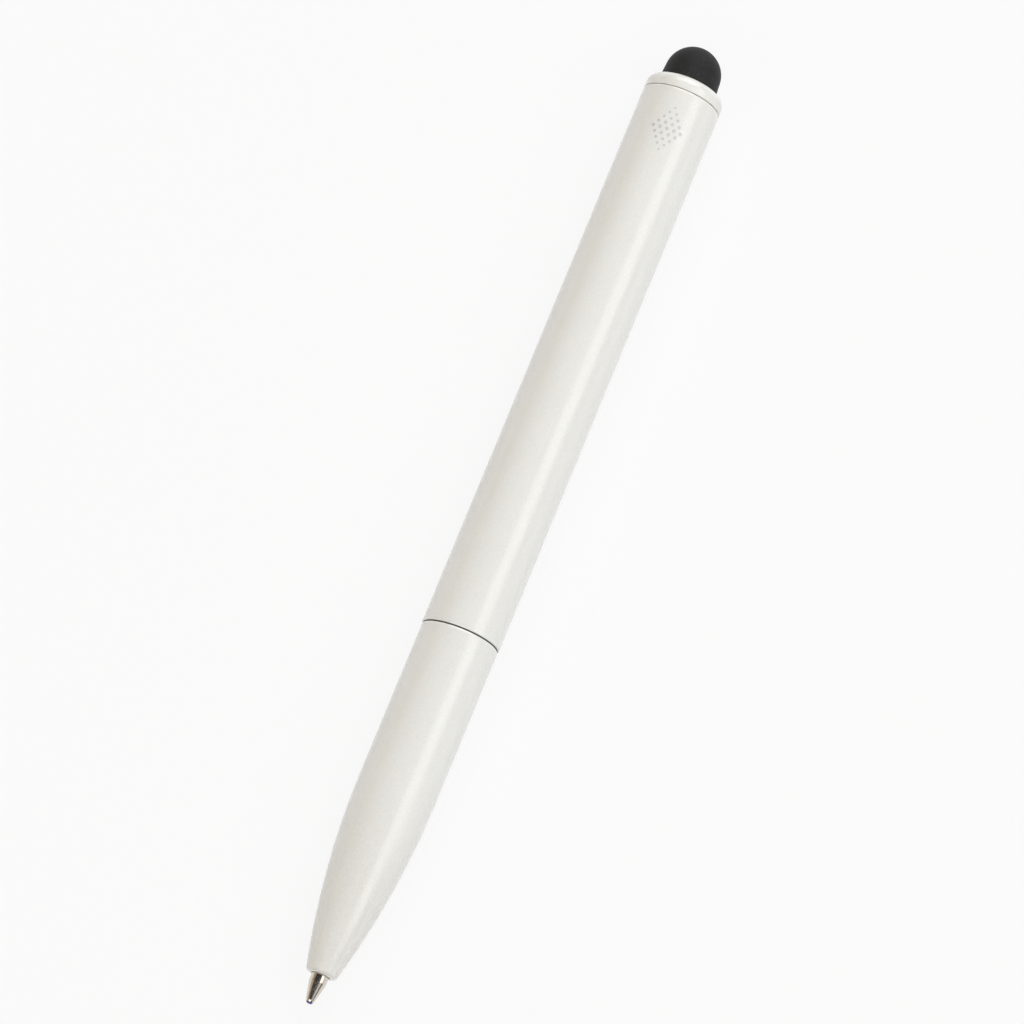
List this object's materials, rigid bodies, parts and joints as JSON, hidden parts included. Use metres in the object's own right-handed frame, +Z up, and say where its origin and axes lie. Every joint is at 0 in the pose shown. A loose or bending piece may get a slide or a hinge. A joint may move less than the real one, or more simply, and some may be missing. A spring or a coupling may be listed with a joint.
{
  "type": "stylus pen",
  "caption": "Slim clipless twist-action ballpoint pen: tapered lacquered metal barrel, retracting nib at one end, soft rubber stylus dome at the other.",
  "frame": {"origin": "on the surface that the pen lies on, under the middle of its length", "axes": "+X along the pen from the nib to the stylus dome, +Z up"},
  "size_m": [0.1398, 0.0108, 0.0108],
  "materials": {
    "pearl_lacquer": "satin pearl lacquer with fine metallic grain",
    "black_rubber": "matte",
    "black_plastic": "matte",
    "white_plastic": "satin",
    "brass": "turned",
    "spring_steel": "drawn",
    "clear_plastic": "translucent gloss",
    "nickel_silver": "polished turned",
    "carbide": "polished, wet with ink",
    "blue_ink": "wet",
    "follower_grease": "wet"
  },
  "bodies": {
    "upper": {"upper_barrel": "pearl_lacquer", "stylus_collar": "pearl_lacquer", "stylus_dome": "black_rubber", "stylus_plug": "black_plastic", "front_bush": "black_plastic", "cam_sleeve": "white_plastic"},
    "lower": {"lower_barrel": "pearl_lacquer", "joint_washer": "black_plastic", "guide_tube": "white_plastic", "threaded_insert": "brass", "friction_ring": "black_rubber", "retaining_ring": "spring_steel", "nose_guide": "white_plastic", "return_spring": "spring_steel"},
    "refill": {"plunger": "white_plastic", "cam_pin": "spring_steel", "refill_tube": "clear_plastic", "tip_adapter": "clear_plastic", "writing_tip": "nickel_silver", "ink_column": "blue_ink", "ink_follower": "follower_grease"},
    "ball": {"writing_ball": "carbide"}
  },
  "joints": [
    {"name": "twist", "type": "hinge", "parent": "upper", "child": "lower", "pos_m": [-0.01793, 0, 0.0054], "axis": [1, 0, 0], "range_deg": [0, 180]},
    {"name": "refill_slide", "type": "slide", "parent": "lower", "child": "refill", "axis": [1, 0, 0], "range_m": [0, 0.0054], "deforming": ["return_spring"]},
    {"name": "ball_roll", "type": "hinge", "parent": "refill", "child": "ball", "pos_m": [-0.06943, 0, 0.0054], "axis": [0, 1, 0], "continuous": true}
  ],
  "couplings": [
    {"joint": "twist", "follows": "refill_slide", "rad_per_m": 581.77}
  ]
}
